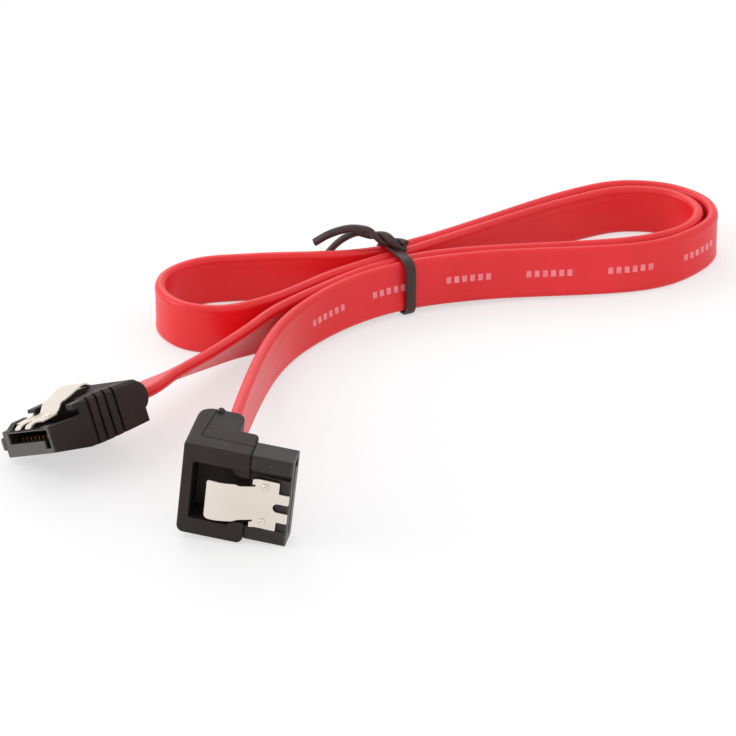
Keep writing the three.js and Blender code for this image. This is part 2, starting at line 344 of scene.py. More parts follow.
def jacketMaterial():
    j = jacket
    made, tree, shader = newMaterial("redJacket", j["red"], j["roughness"])
    nodes, links = tree.nodes, tree.links
    shader.inputs["Sheen Weight"].default_value = j["sheen"]
    shader.inputs["Sheen Roughness"].default_value = j["sheenRoughness"]
    shader.inputs["Sheen Tint"].default_value = (*j["sheenTint"], 1)
    # the map runs along the cable and up its outer flat, in metres
    mapNode = nodes.new("ShaderNodeUVMap")
    mapNode.uv_map = "along"
    parts = nodes.new("ShaderNodeSeparateXYZ")
    links.new(mapNode.outputs["UV"], parts.inputs[0])
    along, around = parts.outputs["X"], parts.outputs["Y"]
    stretch = nodes.new("ShaderNodeMapping")
    stretch.inputs["Scale"].default_value = j["streaks"]
    links.new(mapNode.outputs["UV"], stretch.inputs["Vector"])
    lines = noiseNode(tree, stretch.outputs["Vector"], 1.0, 3)
    place = nodes.new("ShaderNodeTexCoord").outputs["Object"]
    cloud = noiseNode(tree, place, j["cloudScale"], 2)
    grain = noiseNode(tree, place, j["grainScale"], 2)
    tone = blendColours(tree, spread(tree, cloud, 0.35, 0.65, 0, 1), j["red"], j["deepRed"])

    def repeatedBars(pitch, long):
        step = sums(tree, "FRACT", sums(tree, "DIVIDE", along, pitch * mm), 0)
        return sums(tree, "LESS_THAN", step, long / pitch)

    # short plain bars on the outer flat, in groups
    bar = repeatedBars(j["markPitch"], j["markLong"])
    group = repeatedBars(j["groupPitch"], j["groupLong"])
    band = sums(tree, "LESS_THAN", sums(tree, "ABSOLUTE", around, 0), j["markHigh"] / 2 * mm)
    mask = sums(tree, "MULTIPLY", sums(tree, "MULTIPLY", bar, group), band)
    begun = sums(tree, "GREATER_THAN", along, j["markFrom"] * mm)
    running = sums(tree, "LESS_THAN", along, j["markTo"] * mm)
    mask = sums(tree, "MULTIPLY", mask, sums(tree, "MULTIPLY", begun, running))
    patchy = spread(tree, noiseNode(tree, place, j["patchScale"], 2), 0.3, 0.7, 0.5, 0.85)
    ink = sums(tree, "MULTIPLY", mask, patchy)
    links.new(blendColours(tree, ink, tone, j["mark"]), shader.inputs["Base Color"])
    rough = spread(tree, lines, 0.3, 0.7, j["roughness"] - 0.04, j["roughness"] + 0.07)
    links.new(rough, shader.inputs["Roughness"])
    height = sums(tree, "ADD", lines, sums(tree, "MULTIPLY", grain, 0.5))
    bumpFrom(tree, height, shader, j["bump"], j["bumpHigh"])
    return made


moulded = {
    "cloudScale": 240,
    "speckScale": 480,
    "speckSize": 0.06,
    "speckFrom": 0.72,  # of the cells, those above this share have a speck
    "dust": 0.6,
    # painted reflection: the paler grey put on the mating face
    "paintedLightGrey": (0.1, 0.09, 0.089),
    "paintedLightFrom": 0.0004,  # m behind the mating face
    "paintedLightFull": 0.00004,
    "bumpHigh": 0.00005,
}


def mouldedMaterial(name, colour, roughness, grainScale, strength, specular, plug=None):
    # black moulded plastic with a fine eroded grain and a little dust; given a plug, its mating face gets a
    # painted reflection
    made, tree, shader = newMaterial(name, colour, roughness, 0, specular)
    nodes, links = tree.nodes, tree.links
    place = nodes.new("ShaderNodeTexCoord").outputs["Object"]
    grain = noiseNode(tree, place, grainScale, 3, 0.6)
    cloud = noiseNode(tree, place, moulded["cloudScale"], 3)
    specks = nodes.new("ShaderNodeTexVoronoi")
    specks.inputs["Scale"].default_value = moulded["speckScale"]
    specks.inputs["Randomness"].default_value = 1
    links.new(place, specks.inputs["Vector"])
    pick = nodes.new("ShaderNodeSeparateColor")
    links.new(specks.outputs["Color"], pick.inputs[0])
    small = sums(tree, "LESS_THAN", specks.outputs["Distance"], moulded["speckSize"])
    dust = sums(tree, "MULTIPLY", small, sums(tree, "GREATER_THAN", pick.outputs[0], moulded["speckFrom"]))
    pale = tuple(min(1, c * 6 + 0.06) for c in colour)
    warm = tuple(c * 1.7 for c in colour)
    tone = blendColours(tree, spread(tree, cloud, 0.35, 0.7, 0, 1), colour, warm)
    if plug:
        # painted reflection: the mating face is painted a paler grey for the light it catches from the
        # left-front
        axis = plug.to_3x3().col[0]
        away = nodes.new("ShaderNodeVectorMath")
        away.operation = "DOT_PRODUCT"
        away.inputs[1].default_value = axis
        links.new(place, away.inputs[0])
        face = plug.translation.dot(axis)
        paintedLight = spread(tree, away.outputs["Value"], face - moulded["paintedLightFrom"], face - moulded["paintedLightFull"], 0, 1)
        paintedLight = sums(tree, "MULTIPLY", paintedLight, spread(tree, cloud, 0.2, 0.7, 0.7, 1))
        tone = blendColours(tree, paintedLight, tone, moulded["paintedLightGrey"])
    dusty = blendColours(tree, sums(tree, "MULTIPLY", dust, moulded["dust"]), tone, pale)
    links.new(dusty, shader.inputs["Base Color"])
    rough = spread(tree, cloud, 0.3, 0.7, roughness - 0.06, roughness + 0.08)
    links.new(rough, shader.inputs["Roughness"])
    bumpFrom(tree, grain, shader, strength, moulded["bumpHigh"])
    return made


steel = {
    "colour": (0.86, 0.775, 0.69),
    "roughness": 0.34,
    "streaks": (260, 5200, 5200),
    "cloudScale": 300,
    "bump": 0.12,
    "bumpHigh": 0.00002,  # m
}


def steelMaterial(name, colour, roughness, matrix):
    # the grain runs along the strip, so the pattern is turned to the plug
    made, tree, shader = newMaterial(name, colour, roughness, 1.0)
    nodes, links = tree.nodes, tree.links
    place = nodes.new("ShaderNodeTexCoord").outputs["Object"]
    turn = nodes.new("ShaderNodeMapping")
    turn.inputs["Rotation"].default_value = matrix.to_3x3().transposed().to_euler("XYZ")
    links.new(place, turn.inputs["Vector"])
    stretch = nodes.new("ShaderNodeMapping")
    stretch.inputs["Scale"].default_value = steel["streaks"]
    links.new(turn.outputs["Vector"], stretch.inputs["Vector"])
    grain = noiseNode(tree, stretch.outputs["Vector"], 1.0, 2)
    cloud = noiseNode(tree, place, steel["cloudScale"], 2)
    shade = tuple(c * 0.9 for c in colour)
    links.new(blendColours(tree, cloud, colour, shade), shader.inputs["Base Color"])
    rough = spread(tree, grain, 0.3, 0.7, roughness - 0.04, roughness + 0.06)
    links.new(rough, shader.inputs["Roughness"])
    bumpFrom(tree, grain, shader, steel["bump"], steel["bumpHigh"])
    return made


straightPlace = plugMatrix(-17.6, 2.2, 3.9, -142.3, 1.3, 26.3)
anglePlace = plugMatrix(22.2, -15.2, 7.3, -11.1, 6.8, 92.5)

redJacket = jacketMaterial()
straightShell = mouldedMaterial("straightShell", (0.014, 0.0085, 0.0085), 0.46, 5200, 0.25, 0.3, straightPlace)
angleShell = mouldedMaterial("angleShell", (0.02, 0.0145, 0.0145), 0.46, 5200, 0.25, 0.34, anglePlace)
bootBlack = mouldedMaterial("blackBoot", (0.016, 0.0095, 0.0088), 0.54, 3600, 0.4, 0.3)
tieGrey = mouldedMaterial("greyTie", (0.032, 0.0145, 0.0125), 0.42, 2600, 0.2, 0.4)
straightSteel = steelMaterial("straightLatchSteel", steel["colour"], steel["roughness"], straightPlace)
angleSteel = steelMaterial("angleLatchSteel", steel["colour"], steel["roughness"], anglePlace)
# painted shade: the contacts' gold is darkened for the shade deep in the slot
shadedContactGold = steelMaterial("shadedContactGold", (0.26, 0.15, 0.07), 0.42, anglePlace)
print("materials ready")


# flat cable: route and lean as in the part
cable = {
    "wide": 8.4, "thick": 1.8, "waist": 0.07, "perSpan": 7, "aroundSteps": 9,
    "webRows": (0.92, 0.8, 0.66, 0.45, 0.2, 0, -0.2, -0.45, -0.66, -0.8, -0.92),
    "leanRounds": 12, "farOff": 0.05,
    "route": [
        (12.3, -6.8, 8.9, -7), (13.2, 2, 8.6, -5), (18.1, 34.1, 5, 0), (22.5, 44.5, 4.5, 3),
        (29.6, 52.4, 4.9, 6), (38.5, 58.4, 5, 6), (51, 62.6, 4.8, 7), (78.5, 67.6, 4.2, 7),
        (85.8, 72.3, 4.2, 3), (90.1, 79, 4.2, 0), (89.3, 85.6, 4.2, 0), (83.5, 91, 4.2, 0),
        (75.5, 92.2, 4.2, 0), (67.5, 88.7, 4.3, 0), (39.7, 67, 5, 0), (31, 63.5, 4.9, 0),
        (14.5, 63, 4.4, 0), (5, 61.6, 4.2, 0), (0.2, 57, 4.2, 0), (-0.4, 51, 4.2, 0),
        (3.3, 45.6, 4.2, 0), (9.5, 44.2, 4.2, 0), (17.2, 47.5, 4.4, 0), (27.5, 56, 4.9, 0),
        (39.5, 64.4, 5, 0), (67, 85.9, 4.2, 0), (76, 89.9, 4.2, 0), (84, 88.3, 4.2, 0),
        (87.9, 82, 4.2, 0), (85.6, 75, 4.2, -3), (78, 69.8, 4.3, -7), (44, 62.9, 4.9, -6),
        (33.2, 57.5, 4.9, -4), (24, 50, 4.6, 0), (17.6, 44.4, 4.4, 10), (12.5, 39, 4.5, 34),
        (6.5, 30.3, 5.5, 49), (0.6, 21, 6.9, 59), (-2.1, 16.3, 7.3, 63), (-3.6, 14.9, 7.3, 63.7),
    ],
}


def smoothLine(rows, perSpan):
    # a centripetal curve through the points; a fourth number is carried along
    points = [Vector(row[:3]) for row in rows]
    extra = [row[3] if len(row) > 3 else 0 for row in rows]
    ends = [2 * points[0] - points[1], *points, 2 * points[-1] - points[-2]]
    line, carried = [], []
    for i in range(len(points) - 1):
        a, b, c, d = ends[i : i + 4]
        da, db, dc = [math.sqrt(max((q - p).length, 1e-9)) for p, q in ((a, b), (b, c), (c, d))]
        pullStart = ((b - a) / da - (c - a) / (da + db) + (c - b) / db) * db
        pullEnd = ((c - b) / db - (d - b) / (db + dc) + (d - c) / dc) * db
        last = perSpan + 1 if i == len(points) - 2 else perSpan
        for k in range(last):
            t = k / perSpan
            line.append(
                b * (2 * t**3 - 3 * t**2 + 1) + pullStart * (t**3 - 2 * t**2 + t)
                + c * (3 * t**2 - 2 * t**3) + pullEnd * (t**3 - t**2)
            )
            carried.append(extra[i] + (extra[i + 1] - extra[i]) * t)
    return line, carried


def evened(values, rounds):
    for _ in range(rounds):
        inner = [(a + 2 * b + c) / 4 for a, b, c in zip(values, values[1:], values[2:])]
        values = [values[0], *inner, values[-1]]
    return values


def flatSection():
    # (thickness, width) round the flat: round edges, and a web that is a little thinner
    r, half, steps = cable["thick"] / 2, cable["wide"] / 2, cable["aroundSteps"]
    inner = half - r

    def edge(start, side):
        angles = [start + math.pi * i / steps for i in range(steps + 1)]
        return [(r * math.cos(a), side * inner + r * math.sin(a)) for a in angles]

    def web(side, heights):
        thinning = [min(1, max(0, (0.95 - abs(w) / inner) / 0.2)) for w in heights]
        return [(side * (r - cable["waist"] * t), w) for t, w in zip(thinning, heights)]

    rows = [inner * share for share in cable["webRows"]]
    return [*edge(0, 1), *web(-1, rows), *edge(math.pi, -1), *web(1, rows[::-1])]


def cableFrames(line, leans):
    frames = []
    for i, here in enumerate(line):
        before, after = line[max(i - 1, 0)], line[min(i + 1, len(line) - 1)]
        tangent = (after - before).normalized()
        upright = (Vector((0, 0, 1)) - tangent * tangent.z).normalized()
        beside = upright.cross(tangent)
        lean = math.radians(leans[i])
        width = upright * math.cos(lean) + beside * math.sin(lean)
        frames.append((here, width.cross(tangent), width))
    return frames


def sweep(name, frames, ring, mapName):
    # rings along the frames, closed at both ends, with a map in metres
    bm = bmesh.new()
    rows = [[bm.verts.new(p + n * a + w * b) for a, b in ring] for p, n, w in frames]
    mapLayer = bm.loops.layers.uv.new(mapName)
    # the map's second number is the height on the outer flat, and far off elsewhere
    heights = [b * mm + (0 if a < 0 else cable["farOff"]) for a, b in ring]
    run = 0.0
    count = len(ring)
    for i in range(len(rows) - 1):
        step = (frames[i + 1][0] - frames[i][0]).length
        for j in range(count):
            k = (j + 1) % count
            face = bm.faces.new((rows[i][j], rows[i][k], rows[i + 1][k], rows[i + 1][j]))
            corners = ((run, j), (run, k), (run + step, k), (run + step, j))
            for loop, (along, at) in zip(face.loops, corners):
                loop[mapLayer].uv = (along * mm, heights[at])
        run += step
    bm.faces.new(rows[0])
    bm.faces.new(rows[-1][::-1])
    return makeObject(name, bm, join=0)


cableLine, cableLeans = smoothLine(cable["route"], cable["perSpan"])
cableLeans = evened(cableLeans, cable["leanRounds"])
flatCable = sweep("flatCableJacket", cableFrames(cableLine, cableLeans), flatSection(), "along")
seat(flatCable, Matrix.Identity(4))
shadeSoft(flatCable, 50)
dress(flatCable, redJacket, "cable", "jacket", "flat_cable")


# the plugs' head
head = {
    "width": 14.35, "thick": 4.1, "long": 6.3, "rail": 2.4, "fall": 6, "bedTop": 3.95,
    "round": 0.3, "roundUnder": 0.5, "slotWide": 10.86, "slotAt": -0.13, "slotFloor": 2.0, "slotDeep": 5.4,
    "keyWide": 1.4, "keyFloor": 0.75, "keyTop": 3.55, "keyBackTop": 2.95, "keyOverlap": 0.15,
    "shift": -0.6, "sheet": 0.3,
}


def makeHead(name, slotTop, bedEdge, extras=(), cuts=(), under=0):
    half, long, top, r = head["width"] / 2, head["long"], head["thick"], head["round"]
    low = head["roundUnder"] if under else r
    section = softOutline([(-half, -under, low), (half, -under, low), (half, top, r), (-half, top, r)], 4)
    made = prism(name, section, -long, 0, "x")
    if extras:
        combine(made, extras, "UNION")
    y0, y1 = head["slotAt"] - head["slotWide"] / 2, head["slotAt"] + head["slotWide"] / 2
    deep, floor, bed = head["slotDeep"], head["slotFloor"], head["bedTop"]
    fall = math.tan(math.radians(head["fall"]))
    # the slot's roof falls back with the latch's bed above it
    slot = prism("slotCut", [(1, floor), (1, slotTop + fall), (-deep, slotTop - deep * fall), (-deep, floor)],
                 y0, y1, "y")
    # the key beside the slot is higher at its mouth than behind it
    keys = []
    inner, outer, keyFloor = y1 - head["keyOverlap"], y1 + head["keyWide"], head["keyFloor"]
    for start, stop, high in ((-1.0, 1, head["keyTop"]), (-deep, -0.9, head["keyBackTop"])):
        high = min(high, slotTop)
        corners = [(inner, keyFloor), (outer, keyFloor), (outer, high), (inner, high)]
        keys.append(prism("keyCut", corners, start, stop, "x"))
    bedCut = prism("bedCut", [
        (0.5, 9), (0.5, bed), (0, bed), (-long, bed - long * fall), (-long, 2.5), (-9, 2.5), (-9, 9),
    ], -half + head["rail"], bedEdge, "y")
    return combine(made, [slot, *keys, bedCut, *cuts], "DIFFERENCE")


contact = {"count": 7, "pitch": 1.27, "wide": 0.8, "thick": 0.25, "round": 0.05, "lift": 0.02,
           "front": -1.5, "crown": 1.4, "back": -5.3, "rise": 0.2}


def contactTree(material):
    # one sprung strip, repeated across the slot
    tree, given, out = geometryTree("contactRow", {
        "Count": "Int", "Pitch": "Float", "Wide": "Float", "Thick": "Float", "Front": "Vector",
        "Crown": "Vector", "Back": "Vector"})
    nodes, links = tree.nodes, tree.links
    strip = nodes.new("GeometryNodeCurveQuadraticBezier")
    strip.inputs["Resolution"].default_value = 10
    links.new(given.outputs["Front"], strip.inputs["Start"])
    links.new(given.outputs["Crown"], strip.inputs["Middle"])
    links.new(given.outputs["Back"], strip.inputs["End"])
    section = nodes.new("GeometryNodeCurvePrimitiveQuadrilateral")
    links.new(given.outputs["Thick"], section.inputs["Width"])
    links.new(given.outputs["Wide"], section.inputs["Height"])
    corner = nodes.new("GeometryNodeFilletCurve")
    corner.mode = "POLY"
    corner.inputs["Count"].default_value = 2
    corner.inputs["Radius"].default_value = contact["round"]
    links.new(section.outputs["Curve"], corner.inputs["Curve"])
    body = nodes.new("GeometryNodeCurveToMesh")
    body.inputs["Fill Caps"].default_value = True
    links.new(strip.outputs["Curve"], body.inputs["Curve"])
    links.new(corner.outputs["Curve"], body.inputs["Profile Curve"])
    return finishTree(tree, out, repeated(tree, given, body.outputs["Mesh"], "Y"), material)


contactRow = contactTree(shadedContactGold)


def makeContacts(name, matrix):
    floor = head["slotFloor"] + contact["thick"] / 2 + contact["lift"]
    made = grow(name + "Contacts", contactRow, {
        "Count": contact["count"], "Pitch": contact["pitch"],
        "Wide": contact["wide"], "Thick": contact["thick"],
        "Front": (contact["front"], 0, floor),
        "Crown": (contact["front"] - contact["crown"], 0, floor + contact["rise"]),
        "Back": (contact["back"], 0, floor),
    })
    first = head["slotAt"] - (contact["count"] - 1) / 2 * contact["pitch"]
    made.data.transform(Matrix.Translation((0, first, 0)))
    smoothFaces(made, 40)
    seat(made, matrix)
    nodes = [f"{name}_contact_{i + 1}" for i in range(contact["count"])]
    return dress(made, shadedContactGold, "cable", "contact", *nodes)


def profileLine(profile):
    return smoothLine([(x, 0, z) for x, z in profile], 12)[0]


def bendStrip(name, outline, profile, thick):
    # a flat outline in (distance behind the tip, width), cut across finely and bent along the profile
    line = profileLine(profile)
    runs = [0.0]
    for a, b in zip(line, line[1:]):
        runs.append(runs[-1] + (b - a).length)

    def at(s, up):
        s = max(0.0, min(s, runs[-1] - 1e-6))
        i = max(k for k, r in enumerate(runs) if r <= s)
        i = min(i, len(line) - 2)
        share = (s - runs[i]) / (runs[i + 1] - runs[i])
        here = line[i].lerp(line[i + 1], share)
        back, ahead = line[max(i - 1, 0)], line[min(i + 2, len(line) - 1)]
        tangent = (line[i] - back).lerp(ahead - line[i + 1], share) if i else line[1] - line[0]
        tangent.normalize()
        normal = Vector((tangent.z, 0, -tangent.x))
        if normal.z < 0:
            normal.negate()
        return here + normal * up

    flat = prism(name, outline, -thick, 0, "z")
    bm = bmesh.new()
    bm.from_mesh(flat.data)
    cuts = int(runs[-1] / latchPlan["cutPitch"])
    for k in range(1, cuts):
        bmesh.ops.bisect_plane(bm, geom=[*bm.verts, *bm.edges, *bm.faces], dist=latchPlan["cutJoin"],
                               plane_co=(runs[-1] * k / cuts, 0, 0), plane_no=(1, 0, 0))
    for vert in bm.verts:
        moved = at(vert.co.x, vert.co.z)
        vert.co = (moved.x, vert.co.y, moved.z)
    bmesh.ops.recalc_face_normals(bm, faces=bm.faces)
    bm.to_mesh(flat.data)
    bm.free()
    return flat


def profileLength(profile):
    line = profileLine(profile)
    return sum((b - a).length for a, b in zip(line, line[1:]))


straightLatch = {
    "profile": [
        (-0.3, 4.02), (-0.75, 4.5), (-1.5, 4.72), (-2.9, 4.9), (-4.4, 5.1), (-5.2, 5.25), (-6.1, 6.3),
        (-7.98, 7.05), (-10.03, 7.85), (-11.0, 7.85), (-11.5, 7.5), (-11.6, 7.1),
    ],
    "plate": 4.6, "aside": -0.3,
}
angleLatch = {
    "profile": [
        (-0.12, 4.28), (-2.6, 4.24), (-4.9, 4.22), (-5.98, 4.62), (-8.05, 5.35), (-10.37, 5.82), (-12.2, 5.7),
    ],
    "plate": 5.6, "aside": 0.0,
}
latchPlan = {
    "half": 4.12, "pad": 3.3, "neck": 2.9, "prong": 1.7, "shoulder": 1.6,
    "notch": 0.72, "notchDeep": 2.3, "notchAside": 0.17,
    "cutPitch": 0.22, "cutJoin": 0.012, "eased": 0.05,
    "bumpBack": 3.6, "bumpIn": 1.17, "bumpSides": 20, "bumpDimple": 0.02, "bumpFoot": 0.1,
    "bumpRings": [(0.14, 0.05), (0.27, 0.3), (0.4, 0.4), (0.54, 0.2), (0.63, -0.06)],
}


def makeBump(x, y, z):
    # a low dome with a dimple on top
    bm = bmesh.new()
    sides = latchPlan["bumpSides"]
    angles = [2 * math.pi * k / sides for k in range(sides)]
    loops = [[bm.verts.new((x + r * math.cos(a), y + r * math.sin(a), z + h)) for a in angles]
             for r, h in latchPlan["bumpRings"]]
    middle = bm.verts.new((x, y, z + latchPlan["bumpDimple"]))
    foot = bm.verts.new((x, y, z - latchPlan["bumpFoot"]))
    for k in range(sides):
        m = (k + 1) % sides
        bm.faces.new((middle, loops[0][k], loops[0][m]))
        bm.faces.new((foot, loops[-1][m], loops[-1][k]))
        for inner, outer in zip(loops, loops[1:]):
            bm.faces.new((inner[k], outer[k], outer[m], inner[m]))
    return makeObject("bump", bm)


def makeLatch(name, given, material, matrix, body):
    plan = latchPlan
    half, pad, neck, n = plan["half"], plan["pad"], plan["neck"], plan["notch"]
    c = head["shift"]
    front = c + given["aside"]
    low, high = front - plan["notchAside"] - n, front - plan["notchAside"] + n
    prong, deep, step = plan["prong"], plan["notchDeep"], plan["shoulder"]
    rear = given["plate"]
    end = profileLength(given["profile"]) - 0.02
    # the plate with its notch and prongs, the neck behind it, and the pad
    outline = softOutline([
        (0, low - prong, 0.2), (0, low, 0.3), (deep, low, 0.7), (deep, high, 0.7), (0, high, 0.3),
        (0, high + prong, 0.2), (step, high + prong, 0.15), (step, front + half, 0.2),
        (rear, front + half, 0.2), (rear, c + neck + 0.3, 0.12),
        (rear - 0.5, c + neck + 0.25, 0.1), (rear - 0.45, c + neck - 0.05, 0.1),
        (rear + 1.9, c + neck, 0.3), (rear + 2.5, c + pad - 0.12, 0.3), (end, c + pad, 0.35),
        (end, c - pad, 0.7), (rear + 2.6, c - pad + 0.1, 0.6), (rear + 1.7, c - neck, 0.6),
        (rear - 0.45, c - neck + 0.05, 0.1), (rear - 0.5, c - neck - 0.25, 0.1), (rear, c - neck - 0.3, 0.12),
        (rear, front - half, 0.2), (step, front - half, 0.2), (step, low - prong, 0.15),
    ], 4)
    made = bendStrip(name + "Latch", outline, given["profile"], head["sheet"])
    easeEdges(made, plan["eased"], 2, 50, flat=0.02)
    at = min(profileLine(given["profile"]), key=lambda p: abs(p.x + 0.12 + plan["bumpBack"]))
    bumps = [makeBump(at.x, front + y, at.z) for y in (-half + plan["bumpIn"], half - plan["bumpIn"])]
    smoothFaces(made, 35)
    for bump in bumps:
        bump.data.shade_smooth()
    joined = joinMeshes(made, bumps)
    seat(joined, matrix)
    return dress(joined, material, body, "latch", name + "_latch")


def joinMeshes(base, others):
    # the others' meshes go into the base's mesh
    bm = bmesh.new()
    bm.from_mesh(base.data)
    for other in others:
        bm.from_mesh(other.data)
        bpy.data.objects.remove(other)
    bm.to_mesh(base.data)
    bm.free()
    return base


# straight plug
straightBoot = {
    "high": 6.4, "under": 1.1, "wide": 14.35, "bevel": 0.6, "front": -7.6, "back": -17.1, "ridgeFront": -5.2,
    "grooves": 4, "groovePitch": 1.55, "grooveWide": 0.44, "grooveDeep": 0.5,
    "noseRound": 2.3, "noseLong": 14.1, "noseHigh": 3.7, "noseFlat": 0.8, "exitLong": 1.6,
    "slotTop": 3.65, "bedEdge": 5.05, "pocketRoom": 0.9, "pocketFloor": 2.5, "ribOut": 1.15,
    # from the side, (x, z, radius)
    "rib": [(-5.7, 1.1, 0.2), (-0.05, 1.1, 0.3), (-0.05, 3.1, 0.3), (-5.7, 3.1, 0.2)],
    "guard": [(-0.45, 3.9), (-2.0, 4.95, 0.6), (-6.2, 5.2), (-6.2, 3.9)],
    # from above, (x, y, radius)
    "scoop": [(-7.2, 5.04), (-1.15, 5.04, 0.15), (-1.15, 6.87, 0.15), (-7.2, 6.87)],
    # from behind, (y, z, radius)
    "exit": [(-4.75, 2.4, 0.9), (4.75, 2.4, 0.9), (4.75, 5.0, 0.9), (-4.75, 5.0, 0.9)],
    # x0, x1, y0, y1, z0, z1
    "hollows": [(-6.1, -4, 5.05, 9, 4.18, 5.0), (-6.1, -4, -9, -5.2, 5.0, 5.35)],
}


def grooveTree():
    # a row of one cutter's copies for the grip grooves
    tree, given, out = geometryTree("gripRow", {"Count": "Int", "Pitch": "Float", "Cutter": "Object"})
    nodes, links = tree.nodes, tree.links
    cutter = nodes.new("GeometryNodeObjectInfo")
    links.new(given.outputs["Cutter"], cutter.inputs["Object"])
    return finishTree(tree, out, repeated(tree, given, cutter.outputs["Geometry"], "X"), bootBlack)


gripRow = grooveTree()


def underCut(back):
    # the underside falls from the mating face to the grip and rises again behind it
    low = -straightBoot["under"]
    return prism("underCut", [
        (1, -4), (1, 0), (-0.2, 0), (-6.6, low), (-8.6, low), (back - 1, low / 4), (back - 1, -4),
    ], -9, 9, "y")


def frontSlope():
    # the grip's top comes down a little towards the latch's plate
    return prism("frontSlope", [(-4, 5.85), (-5.2, 5.95), (-10, 6.4), (-10, 8), (-4, 8)], -9, 9, "y")


def makeStraightPlug():
    s = straightBoot
    half = head["width"] / 2
    front, back = s["front"], s["back"]
    w, high, under, b = s["wide"] / 2, s["high"], s["under"], s["bevel"]
    section = softOutline([(-w, -under, 0.5), (w, -under, 0.5), (w, high - b, 0.4), (w - b, high, 0.4),
                           (-w + b, high, 0.4), (-w, high - b, 0.4)], 4)
    # the shell carries the front of the grip, up to the first groove
    collar = prism("collar", section, front, s["ridgeFront"], "x")
    rib = prism("rib", softOutline(s["rib"], 3), -half - s["ribOut"], -half + 0.3, "y")
    guard = prism("guard", softOutline(s["guard"], 4), -half + 0.1, -half + 1.7, "y")
    hollows = [block("hollow", *sides) for sides in s["hollows"]]
    scoop = prism("scoop", softOutline(s["scoop"], 3), 3.15, 4.6, "z")
    # hollows in the roof for the latch's two tips
    middle = head["shift"] + straightLatch["aside"] - latchPlan["notchAside"]
    tips = []
    for side in (-1, 1):
        y0, y1 = sorted((middle + side * 0.62, middle + side * 2.5))
        tips.append(block("tip", -0.95, -0.22, y0, y1, 3.7, 5))
    shell = makeHead("straightHousing", s["slotTop"], s["bedEdge"], [collar, rib, guard],
                     [underCut(back), frontSlope(), *hollows, scoop, *tips], under)
    easeEdges(shell, 0.1)
    smoothFaces(shell)
    seat(shell, straightPlace)
    dress(shell, straightShell, "cable", "shell", "straight_housing")

    boot = prism("straightBoot", section, back, front - 0.02, "x")
    # the top's rear edge is rounded in three steps
    rearTop = prism("rearTop", [
        (back - 1, high - 0.9), (back, high - 0.9), (back + 0.12, high - 0.45), (back + 0.45, high - 0.12),
        (back + 0.9, high), (back + 0.9, high + 1), (back - 1, high + 1),
    ], -9, 9, "y")
    # the pocket that the latch is pressed into, with a ramp out at the back
    reach = latchPlan["pad"] + s["pocketRoom"]
    floor = s["pocketFloor"]
    deepEnd = straightLatch["profile"][-1][0] - 0.4
    c = head["shift"]
    pocket = prism("pocket", softOutline([
        (front + 1, high + 1), (front + 1, floor), (deepEnd, floor, 0.5), (deepEnd, 4.4, 0.6),
        (back + 1.4, high), (back + 1.4, high + 1),
    ], 4), c - reach, c + reach, "y")
    # the grip grooves run over the side and the bevelled edge
    d, wide = s["grooveDeep"], s["grooveWide"]
    cutters = []
    for side in (-1, 1):
        path = [(w - d, -3), (w - d, high - b - 0.41 * d), (w - b - 0.41 * d, high - d),
                (w - b - 0.35, high - d + 0.3), (w - b - 0.35, high + 1), (w + 1, high + 1), (w + 1, -3)]
        shape = prism("gripShape", [(side * y, z) for y, z in path], front - wide, front + 0.01, "x")
        cutters.append(grow("gripCut", gripRow, {
            "Count": s["grooves"], "Pitch": -s["groovePitch"], "Cutter": shape}))
        bpy.data.objects.remove(shape)
    combine(boot, [underCut(back), frontSlope(), rearTop, pocket, *cutters], "DIFFERENCE")
    nose = cylinder("nose", (back + 0.5, s["noseHigh"], 0), s["noseRound"], s["noseLong"], "y", 40,
                    (s["noseFlat"], 1))
    easeEdges(nose, 0.5, 4, 50)
    sleeve = prism("exit", softOutline(s["exit"], 4), back - s["exitLong"], back, "x")
    combine(boot, [nose, sleeve], "UNION")
    easeEdges(boot, 0.1)
    smoothFaces(boot)
    seat(boot, straightPlace)
    dress(boot, bootBlack, "cable", "boot", "straight_overmould")
    makeLatch("straight", straightLatch, straightSteel, straightPlace, "straight_release")
    makeContacts("straight", straightPlace)


# right-angle plug
angleBoot = {
    "left": -16.3, "right": -6.34, "low": -7.825, "top": 7.425, "face": 4.5, "deep": 10.75, "arm": 6,
    "exit": 6.9, "round": 1.6, "backRound": 2.4, "slotTop": 3.0,
    "window": 4.45, "windowIn": 1.65, "windowHalf": 4.8,
    "ears": [(5.15, 1.2), (-5.05, 0.55)],  # aside of the latch, and down from the face
    "earRound": 1.45, "earLong": 1.4,
    "lineWide": 0.15, "lineDeep": 0.16, "line": [(-13.7, -6.9), (-14.35, 1.7), (-6.2, 1.98)],
}


def onLine(points, corner):
    flat = Vector((corner.x, corner.z))
    for a, b in zip(points, points[1:]):
        a, b = Vector(a), Vector(b)
        share = max(0, min(1, (flat - a).dot(b - a) / (b - a).length_squared))
        if (a.lerp(b, share) - flat).length < angleBoot["lineWide"]:
            return True
    return False


def mouldLine(points, side, level):
    # thin cutters that follow the points over the boot's end face, in (x, z)
    cutters = []
    for (x0, z0), (x1, z1) in zip(points, points[1:]):
        along = Vector((x1 - x0, z1 - z0))
        aside = Vector((-along.y, along.x)).normalized() * angleBoot["lineWide"] / 2
        tip = along.normalized() * angleBoot["lineWide"] / 2
        a, b = Vector((x0, z0)) - tip, Vector((x1, z1)) + tip
        y = sorted((level - side * angleBoot["lineDeep"], level + side))
        cutters.append(prism("line", [a - aside, b - aside, b + aside, a + aside], y[0], y[1], "y"))
    return cutters


